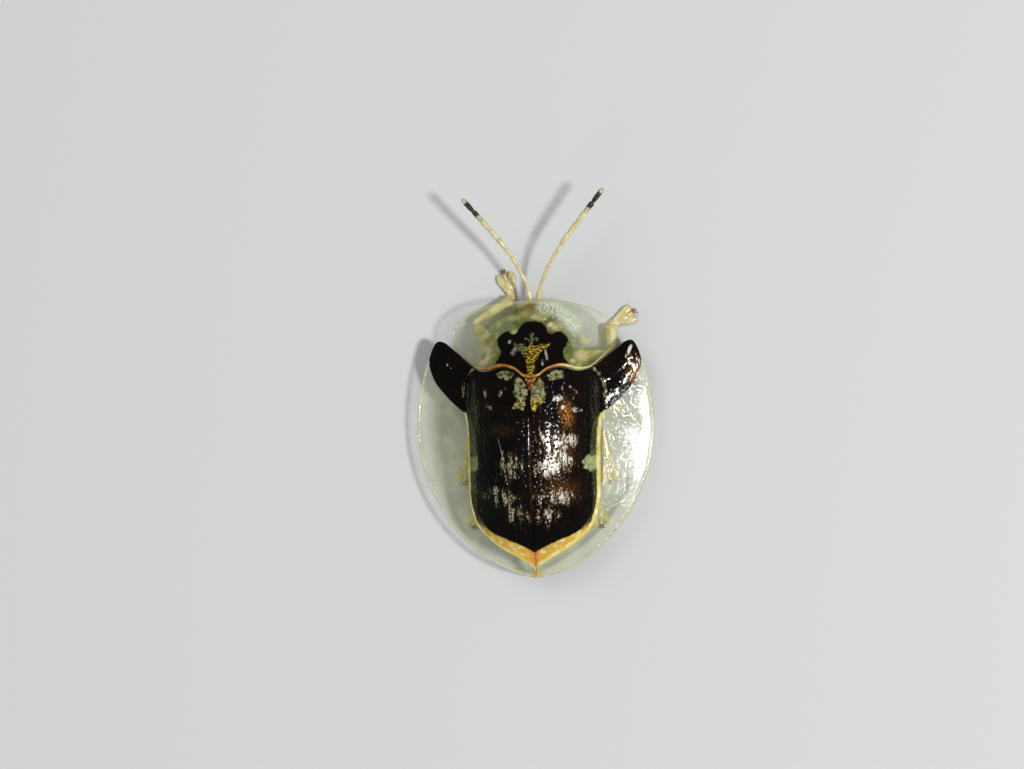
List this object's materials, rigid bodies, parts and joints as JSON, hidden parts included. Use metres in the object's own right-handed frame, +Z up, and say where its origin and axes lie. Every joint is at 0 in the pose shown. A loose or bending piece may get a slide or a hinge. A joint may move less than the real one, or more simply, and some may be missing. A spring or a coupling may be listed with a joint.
{
  "type": "mottled tortoise beetle",
  "caption": "Still, life-size tortoise beetle standing on its feet: domed black and gold wing cases in a clear flat margin, lobed pronotum, raised antennae and yellow legs.",
  "frame": {"origin": "on the floor, at the middle of the beetle's box from feeler tips to tail", "axes": "+Z up out of the back, -Y ahead of the head, +X to the beetle's own left"},
  "size_m": [0.005, 0.008, 0.0022],
  "materials": {
    "shell_black": "glossy black shell with metallic gold patches, pitted in rows",
    "margin_clear": "clear, slightly yellow horny sheet with a fine net inside",
    "limb_amber": "pale yellow, half clear horny skin",
    "body_brown": "dark brown satin underside with amber edges",
    "eye_black": "black, finely faceted"
  },
  "bodies": {
    "root": {"elytron_left": "shell_black", "elytron_margin_left": "margin_clear", "antenna_left": "limb_amber", "eye_left": "eye_black", "elytron_right": "shell_black", "elytron_margin_right": "margin_clear", "antenna_right": "limb_amber", "eye_right": "eye_black", "pronotum": "shell_black", "pronotum_margin": "margin_clear", "scutellum": "shell_black", "head": "body_brown", "mouthparts": "limb_amber", "prothorax": "body_brown", "thorax": "body_brown", "abdomen": "body_brown", "leg_front_left_femur": "limb_amber", "leg_front_left_tibia": "limb_amber", "leg_front_left_tarsus": "limb_amber", "leg_front_right_femur": "limb_amber", "leg_front_right_tibia": "limb_amber", "leg_front_right_tarsus": "limb_amber", "leg_middle_left_femur": "limb_amber", "leg_middle_left_tibia": "limb_amber", "leg_middle_left_tarsus": "limb_amber", "leg_middle_right_femur": "limb_amber", "leg_middle_right_tibia": "limb_amber", "leg_middle_right_tarsus": "limb_amber", "leg_hind_left_femur": "limb_amber", "leg_hind_left_tibia": "limb_amber", "leg_hind_left_tarsus": "limb_amber", "leg_hind_right_femur": "limb_amber", "leg_hind_right_tibia": "limb_amber", "leg_hind_right_tarsus": "limb_amber"}
  },
  "joints": []
}
